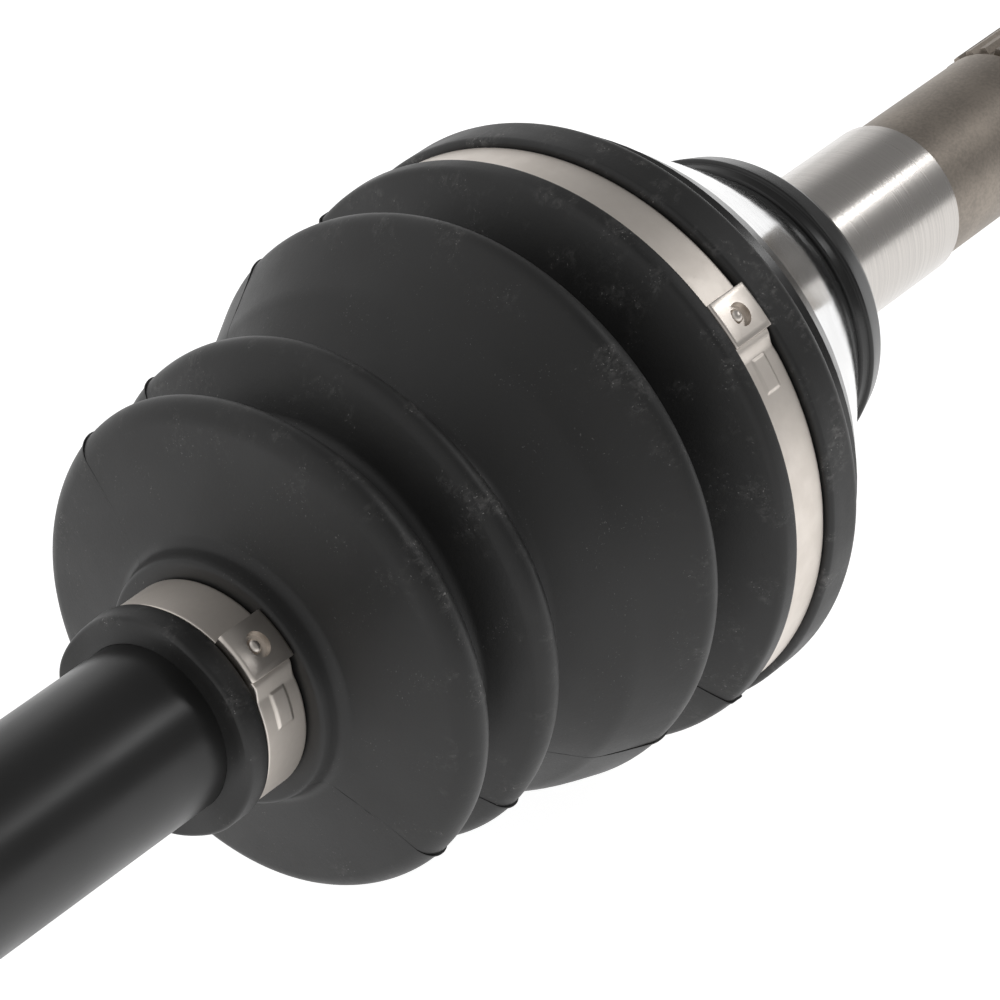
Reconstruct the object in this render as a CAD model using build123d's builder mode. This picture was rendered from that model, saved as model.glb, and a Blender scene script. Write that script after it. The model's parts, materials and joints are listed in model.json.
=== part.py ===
from build123d import *
import math
import os

# Front drive half-shaft: a bar with a fixed ball joint at the wheel end and a
# plunging tripod joint at the differential end, each under a clamped rubber boot.
# Millimetres. X runs along the shaft, +X towards the wheel; +Z is up when it lies
# on a bench. The origin is on the shaft axis, at the middle of the bar.

# ---------------------------------------------------------------- overall sizes
joint_spacing = 400.0  # between the two joint centres
bar_radius = 12.5
bar_neck_step = 1.3  # how much thinner the bar is where it leaves either joint
bar_neck_length = 21.0
bar_neck_taper = 8.0
bar_spline_step = 1.5  # and inside the inner race and the spider
seat_clearance = 0.02  # between pieces seated on each other in one body
rubber_clearance = 0.3  # between a boot or clamp and the body that it moves against

# ---------------------------------------------------------------- ball joint (wheel end)
outboard_bend = 42.0  # degrees each way
ball_circle_radius = 27.0
ball_radius = 7.94
ball_count = 6
track_side_clearance = 1.1  # lets the ball set swing as one piece
race_side_wall = 3.06  # each side of a ball
cage_wall_out = 1.8  # from the ball circle outwards
cage_wall_in = 2.1
cage_side_wall = 5.56
cage_window_length = 19.5
cage_window_clearance = 0.05
sphere_clearance = 0.3
bell_wall = 5.96  # over the ball tracks
bell_groove_depth = 1.9  # under the boot
bell_mouth_depth = 16.5  # from the joint centre to the open face
bell_land_depth = 9.0  # from the joint centre to the flare of the mouth
bell_mouth_wall = 3.5
bell_floor_clearance = 3.5  # beyond the end of the bar
bell_shoulder_length = 3.5  # painted rim behind the boot
bell_edge_chamfer = 1.0
bell_taper_inset = 3.4  # of the taper's small end, inside the ball circle
bell_taper_length = 26.9

# stub axle behind the bell
shield_stand_out = 1.3
shield_seat_depth = 4.6
shield_length = 7.4
shield_step_length = 1.6
shield_step = 0.6
shield_back_bevel = 2.4
journal_radius = 12.6
journal_length = 37.1
stub_step = 0.7
stub_plain_length = 30.1
stub_spline_length = 36.0
stub_spline_step = 0.45  # how much the teeth stand out of the plain stub
stub_spline_depth = 1.1
stub_spline_teeth = 26
spline_runout = 1.2
thread_step = 2.4
thread_length = 22.0
thread_relief_length = 2.6
thread_relief_step = 1.2
thread_pitch = 1.5
thread_depth = 0.9
thread_chamfer = 1.4
cotter_hole_radius = 1.8
cotter_hole_inset = 5.0

# ---------------------------------------------------------------- tripod joint (differential end)
inboard_bend = 20.0  # degrees each way
plunge_travel = 12.0  # each way
roller_radius = 15.0
roller_width = 11.0
roller_hub_gap = 1.1
roller_side_clearance = 1.0
roller_bore_clearance = 0.04
needle_ring_wall = 1.9
trunnion_radius = 8.0
trunnion_end = 0.8  # beyond the retaining ring
trunnion_groove_depth = 0.8
trunnion_ring_width = 1.1
trunnion_ring_wall = 3.0
spider_wall = 4.6
spider_half_width = 10.0
tulip_mouth_margin = 1.0  # of the open face, beyond a roller at full travel
tulip_floor_margin = 1.0  # beyond a roller at full bend and full travel
tulip_hub_gap = 5.4  # from the spider's hub to the lands between the tracks
tulip_ceiling_gap = 1.7
tulip_wall = 4.8
tulip_flare_length = 16.0
tulip_flare_step = 7.5
tulip_floor = 9.0
tulip_back_chamfer = 6.0
tulip_groove_depth = 1.0
tulip_neck_length = 4.0
inner_seal_radius = 17.0
inner_seal_length = 23.0
inner_shield_step = 3.0  # its seat, above the seal journal
inner_shield_width = 5.0
inner_shield_height = 7.0
inner_shield_wall = 2.2
inner_relief_length = 4.0
inner_relief_step = 0.4
inner_spline_radius = 13.0
inner_spline_length = 32.0
inner_spline_depth = 1.2
inner_spline_teeth = 25
inner_tip_step = 2.0
inner_tip_length = 7.0
stub_ring_inset = 6.4  # from the end of the splines
stub_ring_width = 1.6
stub_ring_groove_depth = 1.6
stub_ring_stand_out = 0.5
stub_ring_gap = 3.0

# ---------------------------------------------------------------- retaining rings on the bar
bar_ring_width = 1.8
bar_ring_groove_depth = 1.2
bar_ring_stand_out = 1.6
bar_ring_gap = 2.4
bar_end_overhang = 4.5

# ---------------------------------------------------------------- boots and their clamps
boot_wall = 2.4
cuff_wall = 2.6  # under the large clamp
small_cuff_wall = 2.5
small_cuff_lip = 2.5
small_cuff_lip_width = 4.3
small_cuff_shoulder = 0.5
large_cuff_overlap = 1.3  # from the housing's open face to the clamp
outer_large_cuff_lip = 2.2
inner_large_cuff_lip = 0.5  # lower than its steel band
large_cuff_shoulder = 0.64  # share of the lip's height, on the bar's side of the clamp
large_cuff_lip_width = 8.0
boot_end_gap = 0.6  # to the housing's shoulder
band_thickness = 0.8
band_width = 7.9
band_groove_play = 0.35
buckle_width = 8.0
buckle_length = 6.8
buckle_height = 1.7
buckle_corner = 0.8
buckle_bevel = 0.35
buckle_hole_radius = 1.5
buckle_hole_depth = 0.9
outer_buckle_azimuth = 134.0
inner_buckle_azimuth = 46.0

# Corners of the bellows, from the small cuff to the large one. Each is the distance from
# the housing's open face towards the bar, the height above the straight line between the
# two cuffs, and the rounding.
outer_boot_corners = [
    (69.1, 3.9, 0),
    (65.9, 3.4, 2.0),
    (61.7, 24.8, 3.4),
    (52.1, 6.9, 2.0),
    (45.7, 18.1, 2.8),
    (38.0, 3.2, 3.0),
    (28.0, 9.5, 8.0),
    (16.9, 11.3, 3.6),
    (8.7, -6.3, 2.2),
    (1.7, 4.7, 1.6),
    (-0.5, 2.4, 0),
]
inner_boot_corners = [
    (62.2, 3.7, 0),
    (58.4, 2.9, 2.0),
    (53.8, 11.5, 2.6),
    (46.8, 0.7, 2.2),
    (39.4, 10.1, 2.8),
    (31.4, -2.5, 2.4),
    (22.8, 8.2, 3.0),
    (13.4, -5.1, 2.6),
    (2.1, 3.9, 1.6),
    (-0.5, 1.5, 0),
]

# ---------------------------------------------------------------- worked out: bar
wheel_centre_x = joint_spacing / 2
tripod_centre_x = -joint_spacing / 2
bar_neck_radius = bar_radius - bar_neck_step
bar_spline_radius = bar_radius - bar_spline_step
bar_seat_radius = bar_spline_radius + seat_clearance
bar_ring_groove_radius = bar_spline_radius - bar_ring_groove_depth
bar_ring_radius = bar_spline_radius + bar_ring_stand_out

# worked out: ball joint
half_bend = math.radians(outboard_bend / 2)
ball_track_radius = ball_radius + track_side_clearance
cage_outer_radius = ball_circle_radius + cage_wall_out
cage_inner_radius = ball_circle_radius - cage_wall_in
cage_half_width = ball_radius + cage_side_wall
race_sphere_radius = cage_inner_radius - sphere_clearance
race_half_width = ball_radius + race_side_wall
race_ring_x = race_half_width + seat_clearance
bar_wheel_tip = race_ring_x + bar_ring_width + bar_end_overhang
bell_cavity_radius = cage_outer_radius + sphere_clearance
bell_cavity_depth = math.hypot(bar_wheel_tip, bar_spline_radius) + bell_floor_clearance
bell_radius = ball_circle_radius + ball_track_radius + bell_wall
bell_groove_radius = bell_radius - bell_groove_depth
bell_mouth_radius = bell_groove_radius - bell_mouth_wall

# worked out: clamps and cuffs
band_groove_width = band_width + 2 * band_groove_play
small_cuff_radius = bar_radius + small_cuff_wall
large_band_from_face = large_cuff_overlap + band_groove_width / 2
boot_end_from_face = large_band_from_face + band_groove_width / 2 + large_cuff_lip_width

# worked out: stub of the bell, each place from the ball joint's centre
bell_step_x = -bell_mouth_depth + boot_end_from_face + boot_end_gap
bell_shoulder_x = bell_step_x + bell_shoulder_length
bell_taper_end_x = bell_shoulder_x + bell_taper_length
bell_taper_end_radius = ball_circle_radius - bell_taper_inset
shield_radius = bell_taper_end_radius + shield_stand_out
shield_seat_radius = bell_taper_end_radius - shield_seat_depth
shield_back_x = bell_taper_end_x + shield_length
journal_end_x = shield_back_x + journal_length
stub_radius = journal_radius - stub_step
stub_spline_x = journal_end_x + stub_plain_length
stub_spline_radius = stub_radius + stub_spline_step
thread_x = stub_spline_x + stub_spline_length
thread_radius = stub_radius - thread_step
thread_relief_radius = thread_radius - thread_relief_step
stub_tip_x = thread_x + thread_length

# worked out: tripod joint, each place from the tripod's centre
spider_hub_radius = bar_spline_radius + spider_wall
spider_ring_x = spider_half_width + seat_clearance
bar_tripod_tip = spider_ring_x + bar_ring_width + bar_end_overhang
roller_base = spider_hub_radius + roller_hub_gap
roller_centre_radius = roller_base + roller_width / 2
roller_top = roller_base + roller_width
trunnion_tip = roller_top + trunnion_ring_width + trunnion_end
trunnion_groove_radius = trunnion_radius - trunnion_groove_depth
needle_ring_radius = trunnion_radius + needle_ring_wall
roller_bore_radius = needle_ring_radius + roller_bore_clearance
tulip_mouth = roller_radius + plunge_travel + tulip_mouth_margin
roller_reach = roller_radius + roller_top * math.sin(math.radians(inboard_bend)) * math.cos(math.radians(30))
tulip_cavity_depth = roller_reach + plunge_travel + tulip_floor_margin
tulip_bore_radius = spider_hub_radius + tulip_hub_gap
tulip_ceiling_radius = math.hypot(roller_top, roller_radius) + tulip_ceiling_gap
tulip_radius = tulip_ceiling_radius + tulip_wall
tulip_groove_radius = tulip_radius - tulip_groove_depth
tulip_step_x = -tulip_mouth + boot_end_from_face + boot_end_gap
tulip_back = tulip_cavity_depth + tulip_floor
inner_seal_x = tulip_back + tulip_neck_length
inner_shield_end = inner_seal_x + inner_shield_width
inner_shield_seat = inner_seal_radius + inner_shield_step
inner_shield_radius = inner_shield_seat + inner_shield_height
inner_seal_end = inner_shield_end + inner_seal_length
inner_relief_end = inner_seal_end + inner_relief_length
inner_spline_root = inner_spline_radius - inner_spline_depth
inner_relief_radius = inner_spline_root - inner_relief_step
inner_spline_end = inner_relief_end + inner_spline_length
inner_tip_radius = inner_spline_radius - inner_tip_step
inner_tip = inner_spline_end + inner_tip_length
stub_ring_x = inner_spline_end - stub_ring_inset - stub_ring_width


def wheel_x(distance):
    """Place along X of a distance from the ball joint's centre, towards the wheel."""
    return wheel_centre_x + distance


def tripod_x(distance):
    """Place along X of a distance from the tripod's centre, towards the differential."""
    return tripod_centre_x - distance


def radial_plane(x, radius, azimuth):
    """Plane that faces outwards at a radius, with its X along the shaft."""
    angle = math.radians(azimuth)
    outward = Vector(0, math.cos(angle), math.sin(angle))
    return Plane(origin=Vector(x, 0, 0) + outward * radius, x_dir=(1, 0, 0), z_dir=outward)


def profile(place, points):
    """Points of a turned profile: place gives X for each distance, the radius stays."""
    return [(place(distance), radius) for distance, radius in points]


def tooth_outline(outer, depth, teeth):
    """Corners of a splined section with trapezoid teeth."""
    pitch = 360.0 / teeth
    corners = []
    for tooth in range(teeth):
        for share, radius in ((-0.34, outer - depth), (-0.16, outer), (0.16, outer), (0.34, outer - depth)):
            angle = math.radians((tooth + share) * pitch)
            corners.append((radius * math.cos(angle), radius * math.sin(angle)))
    return corners


def write(part, label):
    """Label a finished piece and write it."""
    part.label = label
    export_step(part, f"parts/{label}.step")


os.makedirs("parts", exist_ok=True)

# ================================================================ bar
def bar_end(seat_half_width, tip):
    """Profile of one end of the bar, from its tip inwards, from that joint's centre."""
    return [
        (tip, 0),
        (tip, bar_spline_radius - 1),
        (tip - 1, bar_spline_radius),
        (-seat_half_width - 1, bar_spline_radius),
        (-seat_half_width - 1, bar_neck_radius),
        (-seat_half_width - 1 - bar_neck_length, bar_neck_radius),
        (-seat_half_width - 1 - bar_neck_length - bar_neck_taper, bar_radius),
    ]


with BuildPart() as bar_shaft:
    with BuildSketch(Plane.XY):
        with BuildLine():
            Polyline(
                profile(wheel_x, bar_end(race_half_width, bar_wheel_tip)),
                profile(tripod_x, reversed(bar_end(spider_half_width, bar_tripod_tip))),
                close=True,
            )
        make_face()
    revolve(axis=Axis.X)
    for ring_start in (wheel_x(race_ring_x), tripod_x(spider_ring_x + bar_ring_width)):
        with BuildSketch(Plane.YZ.offset(ring_start)):
            Circle(bar_radius)
            Circle(bar_ring_groove_radius, mode=Mode.SUBTRACT)
        extrude(amount=bar_ring_width, mode=Mode.SUBTRACT)
write(bar_shaft.part, "bar_shaft")


def retaining_ring(start_x):
    """Open snap ring round the bar, in its groove."""
    with BuildPart() as ring:
        with BuildSketch(Plane.YZ.offset(start_x)):
            Circle(bar_ring_radius)
            Circle(bar_ring_groove_radius + seat_clearance, mode=Mode.SUBTRACT)
            with Locations((0, bar_ring_radius)):
                Rectangle(bar_ring_gap, bar_ring_radius, mode=Mode.SUBTRACT)
        extrude(amount=bar_ring_width - seat_clearance)
    return ring.part


write(retaining_ring(wheel_x(race_ring_x + seat_clearance / 2)), "outboard_race_ring")
write(retaining_ring(tripod_x(spider_ring_x + bar_ring_width - seat_clearance / 2)), "tripod_ring")

# ================================================================ ball joint
# Every ball runs in a track whose centre line is a circle about the joint centre.
def ball_track(azimuth):
    """Cutter of one track of the bell, from beyond the mouth to where the ball stops."""
    centre = Vector(wheel_centre_x, 0, 0)
    outward = radial_plane(wheel_centre_x, 0, azimuth).z_dir
    around = Vector(1, 0, 0).cross(outward)
    last_ball = Vector(1, 0, 0) * math.sin(half_bend) + outward * math.cos(half_bend)
    with BuildPart() as track:
        with BuildSketch(Plane(origin=centre, x_dir=last_ball, z_dir=around.cross(last_ball))):
            with Locations((ball_circle_radius, 0)):
                Circle(ball_track_radius)
        revolve(axis=Axis(centre, around), revolution_arc=110)
        with Locations(centre + last_ball * ball_circle_radius):
            Sphere(ball_track_radius)
    return track.part


with BuildPart() as outboard_inner_race:
    with BuildSketch(Plane.XY.move(Pos(wheel_centre_x, 0, 0))):
        Circle(race_sphere_radius)
        with Locations((0, race_sphere_radius)):
            Rectangle(2 * race_half_width, 2 * race_sphere_radius, mode=Mode.INTERSECT)
        Rectangle(2 * race_half_width, 2 * bar_seat_radius, mode=Mode.SUBTRACT)
        split(bisect_by=Plane.XZ, keep=Keep.BOTTOM)
    revolve(axis=Axis.X)
    for pair in range(ball_count // 2):
        with Locations(Location((wheel_centre_x, 0, 0), (pair * 360 / ball_count, 0, 0))):
            Torus(ball_circle_radius, ball_track_radius, mode=Mode.SUBTRACT)
write(outboard_inner_race.part, "outboard_inner_race")

with BuildPart() as outboard_cage:
    with BuildSketch(Plane.XY.move(Pos(wheel_centre_x, 0, 0))):
        Circle(cage_outer_radius)
        Circle(cage_inner_radius, mode=Mode.SUBTRACT)
        with Locations((0, cage_outer_radius)):
            Rectangle(2 * cage_half_width, 2 * cage_outer_radius, mode=Mode.INTERSECT)
    revolve(axis=Axis.X)
    for ball in range(ball_count):
        with BuildSketch(radial_plane(wheel_centre_x, 0, ball * 360 / ball_count)):
            RectangleRounded(2 * (ball_radius + cage_window_clearance), cage_window_length, ball_radius / 3)
        extrude(amount=2 * cage_outer_radius, mode=Mode.SUBTRACT)
write(outboard_cage.part, "outboard_cage")

for ball in range(ball_count):
    with BuildPart(radial_plane(wheel_centre_x, ball_circle_radius, ball * 360 / ball_count)) as outboard_ball:
        Sphere(ball_radius)
    write(outboard_ball.part, f"outboard_ball_{ball + 1}")

bell_tracks = [ball_track(ball * 360 / ball_count) for ball in range(ball_count)]

with BuildPart() as outboard_bell:
    with BuildSketch(Plane.XY):
        with BuildLine():
            Polyline(
                profile(
                    wheel_x,
                    [
                        (-bell_mouth_depth, 0),
                        (-bell_mouth_depth, bell_groove_radius),
                        (bell_step_x, bell_groove_radius),
                        (bell_step_x, bell_radius),
                        (bell_shoulder_x - bell_edge_chamfer, bell_radius),
                        (bell_shoulder_x, bell_radius - bell_edge_chamfer),
                        (bell_taper_end_x, bell_taper_end_radius),
                        (bell_taper_end_x, shield_seat_radius),
                        (shield_back_x, shield_seat_radius),
                        (shield_back_x, journal_radius),
                        (journal_end_x - stub_step, journal_radius),
                        (journal_end_x, stub_radius),
                        (stub_spline_x, stub_radius),
                        (stub_spline_x, stub_spline_radius - stub_spline_depth),
                        (thread_x, stub_spline_radius - stub_spline_depth),
                        (thread_x, thread_relief_radius),
                        (thread_x + thread_relief_length, thread_relief_radius),
                        (thread_x + thread_relief_length + 1, thread_radius),
                        (stub_tip_x - thread_chamfer, thread_radius),
                        (stub_tip_x, thread_radius - thread_chamfer),
                        (stub_tip_x, 0),
                    ],
                ),
                close=True,
            )
        make_face()
    revolve(axis=Axis.X)
    with BuildSketch(Plane.XY):
        with Locations((wheel_centre_x, 0)):
            Circle(bell_cavity_radius)
        with Locations((wheel_x(bell_cavity_depth), 0)):
            Rectangle(2 * bell_radius, 4 * bell_radius, align=(Align.MIN, Align.CENTER), mode=Mode.SUBTRACT)
        with Locations((wheel_x(-bell_land_depth), 0)):
            Rectangle(2 * bell_cavity_radius, 4 * bell_radius, align=(Align.MAX, Align.CENTER), mode=Mode.SUBTRACT)
        with BuildLine():
            Polyline(
                (wheel_x(-bell_mouth_depth) - 1, 0),
                (wheel_x(-bell_mouth_depth) - 1, bell_mouth_radius),
                (wheel_x(-bell_mouth_depth), bell_mouth_radius),
                (wheel_x(-bell_land_depth), math.sqrt(bell_cavity_radius**2 - bell_land_depth**2)),
                (wheel_x(-bell_land_depth), 0),
                close=True,
            )
        make_face()
        split(bisect_by=Plane.XZ, keep=Keep.BOTTOM)
    revolve(axis=Axis.X, mode=Mode.SUBTRACT)
    for cutter in bell_tracks:
        add(cutter, mode=Mode.SUBTRACT)
    with BuildSketch(Plane.YZ.offset(wheel_x(stub_spline_x + spline_runout))):
        with BuildLine():
            Polyline(tooth_outline(stub_spline_radius, stub_spline_depth, stub_spline_teeth), close=True)
        make_face()
    extrude(amount=stub_spline_length - 2 * spline_runout)
    with BuildSketch(Plane.XY):
        groove_x = thread_x + thread_relief_length + 2
        while groove_x < stub_tip_x - thread_chamfer - thread_pitch:
            with BuildLine():
                Polyline(
                    (wheel_x(groove_x), thread_radius + 0.1),
                    (wheel_x(groove_x + thread_pitch / 2), thread_radius - thread_depth),
                    (wheel_x(groove_x + thread_pitch) - 0.15, thread_radius + 0.1),
                    close=True,
                )
            make_face()
            groove_x += thread_pitch
    revolve(axis=Axis.X, mode=Mode.SUBTRACT)
    with BuildSketch(Plane.XZ.move(Pos(wheel_x(stub_tip_x - cotter_hole_inset), 0, 0))):
        Circle(cotter_hole_radius)
    extrude(amount=thread_radius + 1, both=True, mode=Mode.SUBTRACT)
write(outboard_bell.part, "outboard_bell")

with BuildPart() as outboard_dust_shield:
    with BuildSketch(Plane.XY):
        with BuildLine():
            Polyline(
                profile(
                    wheel_x,
                    [
                        (bell_taper_end_x + seat_clearance, shield_seat_radius + seat_clearance),
                        (bell_taper_end_x + seat_clearance, shield_radius),
                        (bell_taper_end_x + shield_step_length, shield_radius),
                        (bell_taper_end_x + shield_step_length, shield_radius - shield_step),
                        (shield_back_x - shield_back_bevel, shield_radius - shield_step),
                        (shield_back_x, shield_radius - shield_step - shield_back_bevel),
                        (shield_back_x, shield_seat_radius + seat_clearance),
                    ],
                ),
                close=True,
            )
        make_face()
    revolve(axis=Axis.X)
write(outboard_dust_shield.part, "outboard_dust_shield")

# ================================================================ tripod joint
def arm_azimuth(arm):
    """Direction of one of the spider's three arms; the first points up."""
    return 90 + 120 * arm


with BuildPart() as tripod_spider:
    with BuildSketch(Plane.XY.move(Pos(tripod_centre_x, 0, 0))):
        Rectangle(2 * spider_half_width, 2 * spider_hub_radius)
        Rectangle(2 * spider_half_width, 2 * bar_seat_radius, mode=Mode.SUBTRACT)
        split(bisect_by=Plane.XZ, keep=Keep.BOTTOM)
    revolve(axis=Axis.X)
    for arm in range(3):
        with BuildSketch(radial_plane(tripod_centre_x, 0, arm_azimuth(arm))):
            Circle(trunnion_radius)
        extrude(amount=trunnion_tip)
        with BuildSketch(radial_plane(tripod_centre_x, roller_top + seat_clearance, arm_azimuth(arm))):
            Circle(2 * trunnion_radius)
            Circle(trunnion_groove_radius, mode=Mode.SUBTRACT)
        extrude(amount=trunnion_ring_width, mode=Mode.SUBTRACT)
    with BuildSketch(Plane.YZ.offset(tripod_x(spider_half_width))):
        Circle(bar_seat_radius)
    extrude(amount=2 * spider_half_width, mode=Mode.SUBTRACT)
write(tripod_spider.part, "tripod_spider")


def ring_on_arm(arm, base, height, bore, rim):
    """Plain ring round one trunnion, with its base at a radius from the shaft axis."""
    with BuildPart() as ring:
        with BuildSketch(radial_plane(tripod_centre_x, base, arm_azimuth(arm))):
            Circle(rim)
            Circle(bore, mode=Mode.SUBTRACT)
        extrude(amount=height)
    return ring.part


for arm in range(3):
    needle_ring = ring_on_arm(
        arm, roller_base, roller_width, trunnion_radius + seat_clearance, needle_ring_radius
    )
    write(needle_ring, f"needle_ring_{arm + 1}")
    snap_ring = ring_on_arm(
        arm,
        roller_top + 2 * seat_clearance,
        trunnion_ring_width - 2 * seat_clearance,
        trunnion_groove_radius + seat_clearance,
        trunnion_groove_radius + trunnion_ring_wall,
    )
    write(snap_ring, f"trunnion_ring_{arm + 1}")
    arm_plane = radial_plane(tripod_centre_x, roller_centre_radius, arm_azimuth(arm))
    with BuildPart(arm_plane) as roller:
        Sphere(roller_radius)
        Cylinder(2 * roller_radius, roller_width - 2 * roller_bore_clearance, mode=Mode.INTERSECT)
        Cylinder(roller_bore_radius, roller_width, mode=Mode.SUBTRACT)
    write(roller.part, f"roller_{arm + 1}")

with BuildPart() as inboard_housing:
    with BuildSketch(Plane.XY):
        with BuildLine():
            Polyline(
                profile(
                    tripod_x,
                    [
                        (-tulip_mouth, 0),
                        (-tulip_mouth, tulip_groove_radius),
                        (tulip_step_x, tulip_groove_radius),
                        (tulip_step_x, tulip_radius),
                        (tulip_back - tulip_back_chamfer, tulip_radius),
                        (tulip_back, tulip_radius - tulip_back_chamfer),
                        (tulip_back, inner_shield_radius + tulip_neck_length / 2),
                        (inner_seal_x, inner_shield_seat),
                        (inner_shield_end, inner_shield_seat),
                        (inner_shield_end, inner_seal_radius),
                        (inner_seal_end - 1, inner_seal_radius),
                        (inner_seal_end, inner_seal_radius - 1),
                        (inner_seal_end, inner_relief_radius),
                        (inner_relief_end, inner_relief_radius),
                        (inner_relief_end, inner_spline_root),
                        (inner_spline_end, inner_spline_root),
                        (inner_spline_end, inner_tip_radius),
                        (inner_tip - 2, inner_tip_radius),
                        (inner_tip, inner_tip_radius - 2),
                        (inner_tip, 0),
                    ],
                ),
                close=True,
            )
        make_face()
    revolve(axis=Axis.X)
    # cavity: a bore with a flared mouth, and three roller tracks
    with BuildSketch(Plane.XY):
        with BuildLine():
            Polyline(
                profile(
                    tripod_x,
                    [
                        (-tulip_mouth - 1, 0),
                        (-tulip_mouth - 1, tulip_bore_radius + tulip_flare_step),
                        (-tulip_mouth, tulip_bore_radius + tulip_flare_step),
                        (-tulip_mouth + tulip_flare_length, tulip_bore_radius),
                        (tulip_cavity_depth, tulip_bore_radius),
                        (tulip_cavity_depth, 0),
                    ],
                ),
                close=True,
            )
        make_face()
    revolve(axis=Axis.X, mode=Mode.SUBTRACT)
    with BuildSketch(Plane.YZ.offset(tripod_x(tulip_cavity_depth))):
        for arm in range(3):
            with Locations(Location((0, 0, 0), (0, 0, arm_azimuth(arm)))):
                Rectangle(
                    2 * tulip_radius,
                    2 * (roller_radius + roller_side_clearance),
                    align=(Align.MIN, Align.CENTER),
                )
        Circle(tulip_ceiling_radius, mode=Mode.INTERSECT)
    extrude(amount=tulip_cavity_depth + tulip_mouth + 1, mode=Mode.SUBTRACT)
    # splines of the stub
    with BuildSketch(Plane.YZ.offset(tripod_x(inner_spline_end - spline_runout))):
        with BuildLine():
            Polyline(tooth_outline(inner_spline_radius, inner_spline_depth, inner_spline_teeth), close=True)
        make_face()
    extrude(amount=inner_spline_length - 2 * spline_runout)
    with BuildSketch(Plane.YZ.offset(tripod_x(stub_ring_x + stub_ring_width))):
        Circle(inner_spline_radius + 1)
        Circle(inner_spline_radius - stub_ring_groove_depth, mode=Mode.SUBTRACT)
    extrude(amount=stub_ring_width, mode=Mode.SUBTRACT)
write(inboard_housing.part, "inboard_housing")

with BuildPart() as stub_ring:
    with BuildSketch(Plane.YZ.offset(tripod_x(stub_ring_x + stub_ring_width) + seat_clearance)):
        Circle(inner_spline_radius + stub_ring_stand_out)
        Circle(inner_spline_radius - stub_ring_groove_depth + seat_clearance, mode=Mode.SUBTRACT)
        with Locations((0, inner_spline_radius)):
            Rectangle(stub_ring_gap, inner_spline_radius, mode=Mode.SUBTRACT)
    extrude(amount=stub_ring_width - 2 * seat_clearance)
write(stub_ring.part, "inboard_stub_ring")

with BuildPart() as inboard_dust_shield:
    with BuildSketch(Plane.XY):
        with BuildLine():
            Polyline(
                profile(
                    tripod_x,
                    [
                        (inner_seal_x + seat_clearance, inner_shield_seat + seat_clearance),
                        (inner_seal_x + seat_clearance, inner_shield_radius - 1),
                        (inner_seal_x + 1, inner_shield_radius),
                        (inner_shield_end, inner_shield_radius),
                        (inner_shield_end, inner_shield_radius - inner_shield_wall / 2),
                        (inner_seal_x + inner_shield_wall, inner_shield_radius - inner_shield_wall),
                        (inner_seal_x + inner_shield_wall, inner_shield_seat + seat_clearance),
                    ],
                ),
                close=True,
            )
        make_face()
    revolve(axis=Axis.X)
write(inboard_dust_shield.part, "inboard_dust_shield")


# ================================================================ boots
def inner_corners(corners, wall):
    """Corners of a bellows' inside face: its outside corners, moved in by the wall."""
    points = [Vector(station, radius) for station, radius, _ in corners]
    steps = [(after - before).normalized() for before, after in zip(points, points[1:])]
    inward = [Vector(step.Y, -step.X) for step in steps]
    moved = [points[0] + inward[0] * wall]
    for point, before, after in zip(points[1:-1], inward, inward[1:]):
        middle = (before + after).normalized()
        moved.append(point + middle * (wall / middle.dot(before)))
    moved.append(points[-1] + inward[-1] * wall)
    roundings = [corners[0][2]]
    for before, after, corner in zip(steps, steps[1:], corners[1:-1]):
        crest = before.cross(after).Z < 0
        roundings.append(max(corner[2] - wall, 0) if crest else corner[2] + wall)
    return [(point.X, point.Y, rounding) for point, rounding in zip(moved, roundings + [0])]


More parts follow.
